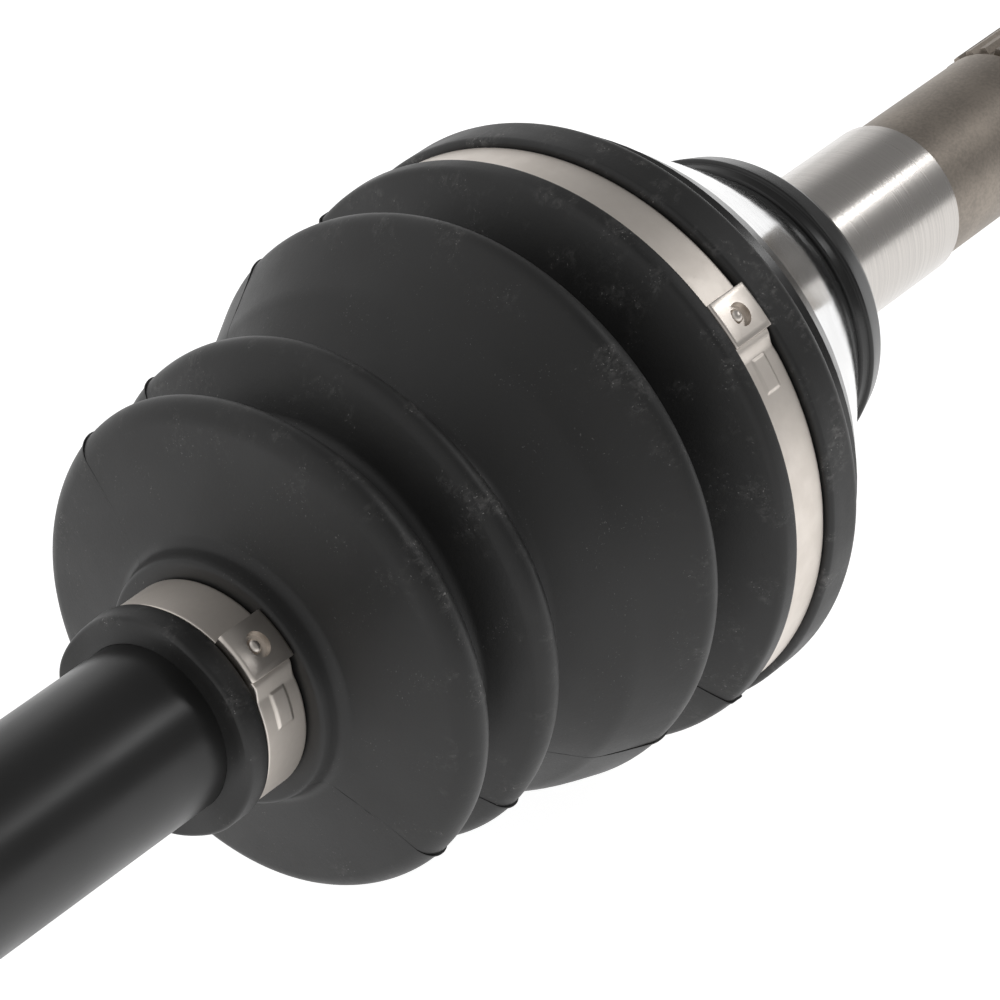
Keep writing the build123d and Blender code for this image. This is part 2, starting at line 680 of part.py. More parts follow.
def boot(place, corners, face, small_bore, housing_radius, large_lip):
    """Sealed bellows with a small cuff on the bar and a large cuff on a housing.

    face is the housing's open face, from the joint centre; corners are measured from it.
    """
    half_groove = band_groove_width / 2
    large_bore = housing_radius + rubber_clearance
    large_floor = large_bore + cuff_wall
    large_rim = large_floor + large_lip
    large_shoulder = large_floor + large_cuff_shoulder * large_lip
    large_band = face + large_band_from_face
    large_end = face + boot_end_from_face
    small_band = face - corners[0][0] - small_cuff_shoulder - half_groove
    small_end = small_band - half_groove - small_cuff_lip_width
    small_lip = small_cuff_radius + small_cuff_lip
    rise = (large_floor - bar_radius) / (large_band - small_band)
    outside = []
    for distance, height, rounding in corners:
        station = face - distance
        outside.append((station, bar_radius + rise * (station - small_band) + height, rounding))
    inside = inner_corners(outside, boot_wall)
    neck_x, neck_radius, _ = outside[1]
    shoulder_radius = outside[0][1]
    last_x = outside[-1][0] - boot_wall / 2
    with BuildPart() as body:
        with BuildSketch(Plane.XY):
            with BuildLine():
                for side in (outside, inside):
                    FilletPolyline(
                        profile(place, [(station, radius) for station, radius, _ in side]),
                        radius=[rounding for _, _, rounding in side[1:-1]],
                    )
                for end in (0, -1):
                    Line(profile(place, [outside[end][:2], inside[end][:2]]))
            make_face()
        revolve(axis=Axis.X)
        with BuildSketch(Plane.XY):
            with BuildLine():
                Polyline(
                    profile(
                        place,
                        [
                            (small_end, small_bore),
                            (small_end, small_lip - 1.6),
                            (small_end + 1.6, small_lip),
                            (small_band - half_groove - 0.6, small_lip),
                            (small_band - half_groove, small_lip - 0.6),
                            (small_band - half_groove, small_cuff_radius),
                            (small_band + half_groove, small_cuff_radius),
                            (small_band + half_groove, shoulder_radius),
                            (neck_x - boot_wall, shoulder_radius),
                            (neck_x + 1.0, neck_radius + 1.0),
                            (neck_x + 2.2, neck_radius - 0.4),
                            (neck_x - 1.0, small_bore),
                        ],
                    ),
                    close=True,
                )
            make_face()
        revolve(axis=Axis.X)
        with BuildSketch(Plane.XY):
            with BuildLine():
                Polyline(
                    profile(
                        place,
                        [
                            (last_x, large_bore),
                            (last_x, large_shoulder),
                            (large_band - half_groove, large_shoulder),
                            (large_band - half_groove, large_floor),
                            (large_band + half_groove, large_floor),
                            (large_band + half_groove, large_rim - large_lip / 2),
                            (large_band + half_groove + large_lip / 2, large_rim),
                            (large_end - 2.0, large_rim),
                            (large_end, large_rim - 2.4),
                            (large_end, large_bore),
                        ],
                    ),
                    close=True,
                )
            make_face()
        revolve(axis=Axis.X)
    return body.part, place(small_band), place(large_band)


outboard_boot, outer_small_x, outer_large_x = boot(
    wheel_x,
    outer_boot_corners,
    -bell_mouth_depth,
    bar_radius + seat_clearance,
    bell_groove_radius,
    outer_large_cuff_lip,
)
write(outboard_boot, "outboard_boot")
inboard_boot, inner_small_x, inner_large_x = boot(
    tripod_x,
    inner_boot_corners,
    -tulip_mouth,
    bar_radius + rubber_clearance,
    tulip_groove_radius,
    inner_large_cuff_lip,
)
write(inboard_boot, "inboard_boot")


# ================================================================ clamps
def clamp(name, middle_x, floor_radius, gap, azimuth):
    """Steel band in a boot groove, and its folded buckle."""
    band_bore = floor_radius + gap
    band_rim = band_bore + band_thickness
    buckle_top = band_rim + buckle_height
    with BuildPart() as band:
        with BuildSketch(Plane.YZ.offset(middle_x - band_width / 2)):
            Circle(band_rim)
            Circle(band_bore, mode=Mode.SUBTRACT)
        extrude(amount=band_width)
    write(band.part, f"{name}_band")
    outward = Axis((middle_x, 0, 0), radial_plane(middle_x, 0, azimuth).z_dir)
    with BuildPart() as buckle:
        with BuildSketch(radial_plane(middle_x, 0, azimuth)):
            RectangleRounded(buckle_width, buckle_length, buckle_corner)
        extrude(amount=buckle_top)
        chamfer(buckle.faces().sort_by(outward)[-1].edges(), buckle_bevel)
        with BuildSketch(radial_plane(middle_x, buckle_top, azimuth)):
            Circle(buckle_hole_radius)
        extrude(amount=-buckle_hole_depth, mode=Mode.SUBTRACT)
        with BuildSketch(Plane.YZ.offset(middle_x - buckle_width)):
            Circle(band_rim + seat_clearance)
        extrude(amount=2 * buckle_width, mode=Mode.SUBTRACT)
    write(buckle.part, f"{name}_buckle")


outer_floor = bell_groove_radius + rubber_clearance + cuff_wall
inner_floor = tulip_groove_radius + rubber_clearance + cuff_wall
clamp("outboard_small", outer_small_x, small_cuff_radius, seat_clearance, outer_buckle_azimuth - 4)
clamp("outboard_large", outer_large_x, outer_floor, rubber_clearance, outer_buckle_azimuth)
clamp("inboard_small", inner_small_x, small_cuff_radius + rubber_clearance, seat_clearance, inner_buckle_azimuth)
clamp("inboard_large", inner_large_x, inner_floor, rubber_clearance, inner_buckle_azimuth)
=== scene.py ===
"""Looks of a front drive half-shaft: turned steel, moulded rubber boots and folded band clamps.

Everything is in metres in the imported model's frame: X runs along the shaft and its axis is y = z = 0.
Sizes are written in millimetres and turned to metres where a mesh is made.
"""

import json
import logging
import math
from dataclasses import dataclass, field
from enum import Enum
from typing import Callable, NamedTuple, Optional

import bmesh
import bpy
from mathutils import Matrix, Vector


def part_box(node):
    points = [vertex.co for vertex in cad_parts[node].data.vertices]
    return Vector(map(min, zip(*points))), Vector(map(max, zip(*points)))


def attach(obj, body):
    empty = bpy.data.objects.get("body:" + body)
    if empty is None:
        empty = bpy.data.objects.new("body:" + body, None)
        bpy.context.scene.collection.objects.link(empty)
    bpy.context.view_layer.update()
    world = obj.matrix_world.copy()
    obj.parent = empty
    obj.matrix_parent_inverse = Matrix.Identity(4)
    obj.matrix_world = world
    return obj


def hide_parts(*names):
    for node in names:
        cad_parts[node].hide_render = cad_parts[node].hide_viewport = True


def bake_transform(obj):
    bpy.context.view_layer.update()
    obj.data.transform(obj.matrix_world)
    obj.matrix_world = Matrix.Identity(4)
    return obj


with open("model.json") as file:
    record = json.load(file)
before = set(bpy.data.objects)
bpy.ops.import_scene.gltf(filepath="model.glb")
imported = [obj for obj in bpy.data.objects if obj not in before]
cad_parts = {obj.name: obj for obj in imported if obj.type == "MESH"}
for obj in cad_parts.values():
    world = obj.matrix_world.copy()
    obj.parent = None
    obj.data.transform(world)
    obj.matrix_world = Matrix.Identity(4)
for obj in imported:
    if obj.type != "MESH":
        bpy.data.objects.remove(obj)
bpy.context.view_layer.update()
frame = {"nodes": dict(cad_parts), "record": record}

MM = 0.001
FULL_TURN = 2 * math.pi
JOINT_STATION = 200.0  # each joint's centre from the middle of the shaft, in millimetres
log = logging.getLogger("half_shaft")

Point = tuple[float, float]
Move = Callable[[float, float, float], tuple[float, float, float]]
Socket = bpy.types.NodeSocket


class Corner(NamedTuple):
    """A corner of a turned outline: its station along the shaft, radius and rounding, in millimetres."""

    x: float
    r: float
    rounding: float = 0.0


class Side(Enum):
    """Which way a joint's stations run along X."""

    WHEEL = 1
    DIFFERENTIAL = -1


# ================================================================ outlines
def smooth(low: float, high: float, value: float) -> float:
    """Smooth step from 0 at low to 1 at high."""
    share = min(1.0, max(0.0, (value - low) / (high - low)))
    return share * share * (3 - 2 * share)


def bump(middle: float, width: float, value: float) -> float:
    """Bell curve of height 1 about middle."""
    return math.exp(-(((value - middle) / width) ** 2))


def rounded(corners: list[Corner], step: float = 0.35) -> list[Point]:
    """Outline of points with each corner's arc put in.

    Args:
        corners: the outline's corners, in order.
        step: longest distance between two points on an arc.

    Returns:
        The points, in millimetres.
    """
    points: list[Point] = [(corners[0].x, corners[0].r)]
    for before, corner, after in zip(corners, corners[1:], corners[2:]):
        here = Vector((corner.x, corner.r))
        back = (Vector((before.x, before.r)) - here).normalized()
        ahead = (Vector((after.x, after.r)) - here).normalized()
        half = back.angle(ahead) / 2
        if corner.rounding < 0.02 or half > math.radians(89.5):
            points.append((here.x, here.y))
            continue
        centre = here + (back + ahead).normalized() * (corner.rounding / math.sin(half))
        start = here + back * (corner.rounding / math.tan(half)) - centre
        end = here + ahead * (corner.rounding / math.tan(half)) - centre
        sweep = start.angle_signed(end)
        count = max(3, math.ceil(abs(sweep) * corner.rounding / step))
        for share in range(count + 1):
            turn = Matrix.Rotation(-sweep * share / count, 2)
            spot = centre + turn @ start
            points.append((spot.x, spot.y))
    points.append((corners[-1].x, corners[-1].r))
    return points


def divided(points: list[Point], step: float) -> list[Point]:
    """The outline with its long runs cut into steps."""
    result = [points[0]]
    for before, after in zip(points, points[1:]):
        length = math.dist(before, after)
        count = max(1, math.ceil(length / step))
        for share in range(1, count + 1):
            part = share / count
            x = before[0] + (after[0] - before[0]) * part
            r = before[1] + (after[1] - before[1]) * part
            result.append((x, r))
    return result


def inside_of(corners: list[Corner], wall: float) -> list[Corner]:
    """Corners of a bellows' inner face: the outer ones moved in by the wall, mitred."""
    spots = [Vector((corner.x, corner.r)) for corner in corners]
    steps = [(after - before).normalized() for before, after in zip(spots, spots[1:])]
    inward = [Vector((step.y, -step.x)) for step in steps]
    moved = [Corner(*(spots[0] + inward[0] * wall), 0)]
    for index, corner in enumerate(corners[1:-1]):
        before, after = inward[index], inward[index + 1]
        middle = (before + after).normalized()
        spot = spots[index + 1] + middle * (wall / middle.dot(before))
        crest = steps[index].cross(steps[index + 1]) < 0
        rounding = max(corner.rounding - wall, 0.3) if crest else corner.rounding + wall
        moved.append(Corner(*spot, rounding))
    moved.append(Corner(*(spots[-1] + inward[-1] * wall), 0))
    return moved


# ================================================================ meshes
def piece(name: str, mesh: bmesh.types.BMesh, sharp: float = 40.0) -> bpy.types.Object:
    """Object from a finished bmesh, shaded smooth up to the given edge angle in degrees."""
    data = bpy.data.meshes.new(name)
    mesh.to_mesh(data)
    mesh.free()
    data.shade_smooth()
    data.set_sharp_from_angle(angle=math.radians(sharp))
    made = bpy.data.objects.new(name, data)
    bpy.context.scene.collection.objects.link(made)
    log.info("%s: %d faces", name, len(data.polygons))
    return made


def spun(
    outline: list[Point],
    turn: float = FULL_TURN,
    start: float = 0.0,
    steps: int = 192,
    closed: bool = True,
) -> bmesh.types.BMesh:
    """Mesh of an outline turned about the shaft axis.

    Args:
        outline: points (station, radius) in millimetres.
        turn: how far it turns, in radians.
        start: azimuth of the first section, from +Y towards +Z.
        steps: sections in the turn.
        closed: joins the outline's last point to its first.

    Returns:
        The bmesh, with its faces pointing outwards.
    """
    mesh = bmesh.new()
    across = Vector((0, math.cos(start), math.sin(start)))
    verts = [mesh.verts.new(Vector((x * MM, 0, 0)) + across * (r * MM)) for x, r in outline]
    pairs = list(zip(verts, verts[1:]))
    if closed:
        pairs.append((verts[-1], verts[0]))
    edges = [mesh.edges.new(pair) for pair in pairs]
    full = abs(turn - FULL_TURN) < 1e-9
    geom = [*verts, *edges] if full else [mesh.faces.new(verts), *verts, *edges]
    bmesh.ops.spin(mesh, geom=geom, axis=(1, 0, 0), angle=turn, steps=steps, use_merge=full)
    bmesh.ops.remove_doubles(mesh, verts=mesh.verts, dist=1e-6)
    bmesh.ops.recalc_face_normals(mesh, faces=mesh.faces)
    return mesh


def move_verts(mesh: bmesh.types.BMesh, rule: Move) -> None:
    """Moves each vertex by a rule on its station, its radius (both in mm) and its azimuth in radians."""
    for vert in mesh.verts:
        r = math.hypot(vert.co.y, vert.co.z) / MM
        turn = math.atan2(vert.co.z, vert.co.y)
        if r < 0.01:
            continue
        x, r, turn = rule(vert.co.x / MM, r, turn % FULL_TURN)
        vert.co = Vector((x, r * math.cos(turn), r * math.sin(turn))) * MM


def wear_layer(mesh: bmesh.types.BMesh, rule: Callable[[float, float, float], float]) -> None:
    """Stores how worn each vertex is, from 0 to 1, by a rule on its station, radius and azimuth."""
    layer = mesh.verts.layers.float.new("wear")
    for vert in mesh.verts:
        r = math.hypot(vert.co.y, vert.co.z) / MM
        turn = math.atan2(vert.co.z, vert.co.y)
        vert[layer] = rule(vert.co.x / MM, r, turn % FULL_TURN)


def cut(body: bpy.types.Object, cutter: bpy.types.Object) -> None:
    """Takes the cutter's shape out of a body's mesh and removes the cutter."""
    modifier = body.modifiers.new("cut", "BOOLEAN")
    modifier.operation = "DIFFERENCE"
    modifier.solver = "EXACT"
    modifier.object = cutter
    graph = bpy.context.evaluated_depsgraph_get()
    result = bpy.data.meshes.new_from_object(body.evaluated_get(graph))
    body.modifiers.clear()
    old, body.data = body.data, result
    bpy.data.meshes.remove(old)
    tool = cutter.data
    bpy.data.objects.remove(cutter)
    bpy.data.meshes.remove(tool)


# ================================================================ finishes
class Shader:
    """Builds one material's node tree a node at a time."""

    def __init__(self, name: str) -> None:
        """Starts an empty material with a principled shader."""
        self.material = bpy.data.materials.new(name)
        self.material.use_nodes = True
        self.tree = self.material.node_tree
        self.tree.nodes.clear()
        self.out = self.tree.nodes.new("ShaderNodeOutputMaterial")
        self.surface = self.tree.nodes.new("ShaderNodeBsdfPrincipled")
        self.tree.links.new(self.surface.outputs["BSDF"], self.out.inputs["Surface"])
        self.place = self.tree.nodes.new("ShaderNodeTexCoord").outputs["Object"]

    def feed(self, socket: Socket, value: object) -> None:
        """Links a socket to an output, or sets its constant."""
        if isinstance(value, bpy.types.NodeSocket):
            self.tree.links.new(value, socket)
        else:
            socket.default_value = value

    def set(self, **values: object) -> "Shader":
        """Sets the principled shader's sockets; underscores in a name stand for spaces."""
        for name, value in values.items():
            self.feed(self.surface.inputs[name.replace("_", " ")], value)
        return self

    def stretched(self, scale: tuple[float, float, float]) -> Socket:
        """Object coordinates scaled along each axis, per millimetre."""
        node = self.tree.nodes.new("ShaderNodeMapping")
        node.inputs["Scale"].default_value = [1000 * part for part in scale]
        self.tree.links.new(self.place, node.inputs["Vector"])
        return node.outputs["Vector"]

    def noise(
        self, scale: tuple[float, float, float], detail: float = 2.0, rough: float = 0.5, warp: float = 0.0
    ) -> Socket:
        """Noise with the given number of waves per millimetre along each axis."""
        node = self.tree.nodes.new("ShaderNodeTexNoise")
        node.inputs["Scale"].default_value = 1.0
        node.inputs["Detail"].default_value = detail
        node.inputs["Roughness"].default_value = rough
        node.inputs["Distortion"].default_value = warp
        self.tree.links.new(self.stretched(scale), node.inputs["Vector"])
        return node.outputs["Fac"]

    def math(self, kind: str, first: object, second: object = 0.0, clamp: bool = False) -> Socket:
        """One arithmetic step."""
        node = self.tree.nodes.new("ShaderNodeMath")
        node.operation = kind
        node.use_clamp = clamp
        self.feed(node.inputs[0], first)
        self.feed(node.inputs[1], second)
        return node.outputs["Value"]

    def span(self, value: object, low: float, high: float, start: float = 0.0, end: float = 1.0) -> Socket:
        """Maps a value between low and high smoothly onto start and end."""
        node = self.tree.nodes.new("ShaderNodeMapRange")
        node.interpolation_type = "SMOOTHSTEP"
        for name, given in (
            ("Value", value),
            ("From Min", low),
            ("From Max", high),
            ("To Min", start),
            ("To Max", end),
        ):
            self.feed(node.inputs[name], given)
        return node.outputs["Result"]

    def mix(self, share: object, first: object, second: object) -> Socket:
        """Mix of two colours."""
        node = self.tree.nodes.new("ShaderNodeMix")
        node.data_type = "RGBA"
        self.feed(node.inputs["Factor"], share)
        self.feed(node.inputs[6], first)
        self.feed(node.inputs[7], second)
        return node.outputs[2]

    def blend(self, share: object, first: object, second: object) -> Socket:
        """Mix of two numbers."""
        node = self.tree.nodes.new("ShaderNodeMix")
        node.data_type = "FLOAT"
        self.feed(node.inputs["Factor"], share)
        self.feed(node.inputs[2], first)
        self.feed(node.inputs[3], second)
        return node.outputs[0]

    def station(self) -> Socket:
        """Place along the shaft, in millimetres."""
        node = self.tree.nodes.new("ShaderNodeSeparateXYZ")
        self.tree.links.new(self.place, node.inputs["Vector"])
        return self.math("MULTIPLY", node.outputs["X"], 1000.0)

    def attribute(self, name: str) -> Socket:
        """A number stored on the mesh."""
        node = self.tree.nodes.new("ShaderNodeAttribute")
        node.attribute_name = name
        return node.outputs["Fac"]

    def relief(self, height: object, depth: float, strength: float = 1.0) -> "Shader":
        """Bump from a height between 0 and 1 that stands for a depth in millimetres."""
        node = self.tree.nodes.new("ShaderNodeBump")
        node.inputs["Strength"].default_value = strength
        node.inputs["Distance"].default_value = depth * MM
        self.feed(node.inputs["Height"], height)
        self.tree.links.new(node.outputs["Normal"], self.surface.inputs["Normal"])
        return self


def grey(value: float, warmth: float = 0.0) -> tuple[float, float, float, float]:
    """A grey, warmed by a share: more red and less blue."""
    return (value * (1 + warmth), value, value * (1 - warmth), 1.0)


@dataclass(frozen=True)
class Rubber:
    """Moulded boot rubber with pale dust on its crests."""

    name: str
    shade: float = 0.0105
    dust: float = 0.2
    roughness: float = 0.41

    def build(self) -> bpy.types.Material:
        """Makes the material."""
        s = Shader(self.name)
        worn = s.attribute("wear")
        fine = s.noise((2.6, 2.6, 2.6), 5, 0.62)
        broad = s.noise((0.07, 0.07, 0.07), 3, 0.55)
        streak = s.noise((0.5, 0.9, 0.9), 6, 0.7, 0.6)
        specks = s.span(s.noise((3.0, 3.0, 3.0), 2, 0.5), 0.665, 0.72)
        patches = s.span(s.noise((0.16, 0.16, 0.16), 3, 0.6), 0.48, 0.7)
        bloom = s.math("MULTIPLY", s.math("MULTIPLY", worn, patches), s.span(streak, 0.42, 0.74))
        dots = s.math("MULTIPLY", s.math("MULTIPLY", specks, patches), s.math("MULTIPLY_ADD", worn, 0.9))
        dusty = s.math("ADD", s.math("MULTIPLY", bloom, 0.42), s.math("MULTIPLY", dots, 0.9), clamp=True)
        dark, pale = grey(self.shade * 0.9, 0.02), grey(self.shade * 1.12, 0.03)
        base = s.mix(s.span(broad, 0.3, 0.7), dark, pale)
        s.set(
            Base_Color=s.mix(dusty, base, grey(self.dust, 0.03)),
            Roughness=s.math(
                "ADD",
                s.span(broad, 0.3, 0.7, self.roughness - 0.05, self.roughness + 0.05),
                s.math("MULTIPLY", s.math("ADD", fine, s.math("MULTIPLY", dusty, 2.0)), 0.12),
            ),
            Specular_IOR_Level=0.46,
        )
        height = s.math("ADD", s.math("MULTIPLY", fine, 0.6), s.math("MULTIPLY", streak, 0.8))
        s.relief(height, 0.035, 0.7)
        return s.material


@dataclass(frozen=True)
class Turned:
    """Turned or ground steel: rings of fine tool marks, slightly stained."""

    name: str
    shade: float = 0.55
    warmth: float = 0.03
    roughness: float = 0.24
    ring_pitch: float = 0.16
    ring_depth: float = 0.004
    metallic: float = 1.0
    stain: float = 0.12

    def build(self) -> bpy.types.Material:
        """Makes the material."""
        s = Shader(self.name)
        rings = s.noise((1 / self.ring_pitch, 0.02, 0.02), 3, 0.7)
        short = s.noise((3.4, 0.06, 0.06), 2, 0.6)
        cloud = s.noise((0.09, 0.09, 0.09), 4, 0.6)
        mark = s.math("MULTIPLY", s.math("ADD", rings, short), 0.5)
        tone = s.math("ADD", s.math("MULTIPLY", mark, 0.45), s.math("MULTIPLY", cloud, 0.55))
        stained = grey(self.shade * (1 - self.stain), self.warmth)
        s.set(
            Base_Color=s.mix(s.span(tone, 0.36, 0.62), stained, grey(self.shade, self.warmth)),
            Metallic=self.metallic,
            Roughness=s.span(tone, 0.3, 0.7, self.roughness + 0.06, self.roughness - 0.05),
        )
        s.relief(mark, self.ring_depth, 0.8)
        return s.material


@dataclass(frozen=True)
class Painted:
    """Black paint on steel, with faint tool rings under it and pale scuffs."""

    name: str
    shade: float = 0.012
    roughness: float = 0.3
    ring_pitch: float = 0.3
    ring_depth: float = 0.006
    scuffs: float = 0.5

    def build(self) -> bpy.types.Material:
        """Makes the material."""
        s = Shader(self.name)
        rings = s.noise((1 / self.ring_pitch, 0.03, 0.03), 3, 0.65)
        peel = s.noise((0.8, 0.8, 0.8), 2, 0.5)
        cloud = s.noise((0.06, 0.06, 0.06), 3, 0.5)
        scuff = s.math(
            "MULTIPLY", s.span(s.noise((2.2, 0.35, 0.35), 4, 0.7), 0.64, 0.76), s.span(cloud, 0.45, 0.62)
        )
        marks = s.math("MULTIPLY", scuff, self.scuffs)
        gloss = s.span(cloud, 0.3, 0.7, self.roughness - 0.04, self.roughness + 0.05)
        s.set(
            Base_Color=s.mix(marks, grey(self.shade, 0.02), grey(self.shade * 7 + 0.02, 0.03)),
            Roughness=s.math("ADD", gloss, s.math("MULTIPLY", scuff, 0.15)),
            Specular_IOR_Level=0.5,
        )
        height = s.math("ADD", s.math("MULTIPLY", rings, 0.8), s.math("MULTIPLY", peel, 0.5))
        s.relief(height, self.ring_depth, 0.7)
        return s.material


@dataclass(frozen=True)
class BandSteel:
    """Stainless clamp strip: pale and satin, with rolling lines and small scratches."""

    name: str = "clamp_band_satin"
    shade: float = 0.69
    roughness: float = 0.42

    def build(self) -> bpy.types.Material:
        """Makes the material."""
        s = Shader(self.name)
        rolled = s.noise((5.5, 0.12, 0.12), 3, 0.6)
        grain = s.noise((4.0, 4.0, 4.0), 3, 0.6)
        cloud = s.noise((0.22, 0.22, 0.22), 3, 0.6)
        scratch = s.span(s.noise((0.5, 3.2, 3.2), 2, 0.8, 1.2), 0.66, 0.72)
        gloss = s.span(cloud, 0.3, 0.7, self.roughness + 0.02, self.roughness - 0.02)
        s.set(
            Base_Color=s.mix(
                s.span(cloud, 0.3, 0.7), grey(self.shade * 0.95, 0.085), grey(self.shade * 1.03, 0.08)
            ),
            Metallic=1.0,
            Roughness=s.math("ADD", gloss, s.math("MULTIPLY", s.math("ADD", grain, scratch), 0.06)),
        )
        height = s.math("ADD", s.math("MULTIPLY", rolled, 0.5), s.math("MULTIPLY", grain, 0.6))
        s.relief(s.math("SUBTRACT", height, s.math("MULTIPLY", scratch, 0.5)), 0.008, 0.8)
        return s.material


@dataclass(frozen=True)
class BellSteel:
    """The bell's finishes along the shaft: painted rim, turned taper, ground journal and dull stub."""

    name: str = "bell_zones"
    rim_end: float = 208.8
    taper_end: float = 236.0
    journal_end: float = 276.9

    def build(self) -> bpy.types.Material:
        """Makes the material."""
        s = Shader(self.name)
        x = s.station()
        rings = s.noise((6.0, 0.02, 0.02), 3, 0.7)
        fine = s.noise((2.0, 2.0, 2.0), 4, 0.6)
        cloud = s.noise((0.1, 0.1, 0.1), 4, 0.6)
        ragged = s.math("ADD", x, s.math("MULTIPLY", s.math("SUBTRACT", cloud, 0.5), 0.8))
        brushed = s.noise((2.4, 0.016, 0.016), 4, 0.75)
        past_rim = s.span(ragged, self.rim_end - 0.15, self.rim_end + 0.15)
        past_taper = s.span(x, self.taper_end - 0.1, self.taper_end + 0.1)
        past_journal = s.span(x, self.journal_end - 0.05, self.journal_end + 0.05)
        ringed = s.math("ADD", s.math("MULTIPLY", rings, 0.5), s.math("MULTIPLY", cloud, 0.5))
        tone = s.span(ringed, 0.38, 0.62)
        taper = s.mix(tone, grey(0.6, 0.0), grey(0.74, 0.0))
        journal = s.mix(s.span(brushed, 0.3, 0.7), grey(0.5, 0.05), grey(0.57, 0.05))
        grainy = s.math("ADD", s.math("MULTIPLY", fine, 0.5), s.math("MULTIPLY", cloud, 0.5))
        stub = s.mix(s.span(grainy, 0.36, 0.64), grey(0.24, 0.13), grey(0.32, 0.14))
        bare = s.mix(past_taper, taper, s.mix(past_journal, journal, stub))
        journal_gloss = s.blend(past_journal, s.span(brushed, 0.3, 0.7, 0.28, 0.2), 0.5)
        bare_gloss = s.blend(past_taper, s.span(tone, 0, 1, 0.11, 0.07), journal_gloss)
        s.set(
            Base_Color=s.mix(past_rim, grey(0.012, 0.02), bare),
            Metallic=past_rim,
            Roughness=s.blend(past_rim, s.span(cloud, 0.3, 0.7, 0.2, 0.28), bare_gloss),
        )
        coarse = s.math("MULTIPLY", s.math("MULTIPLY", fine, past_journal), 5.0)
        s.relief(s.math("ADD", s.math("MULTIPLY", rings, 0.6), coarse), 0.0014, 0.8)
        return s.material


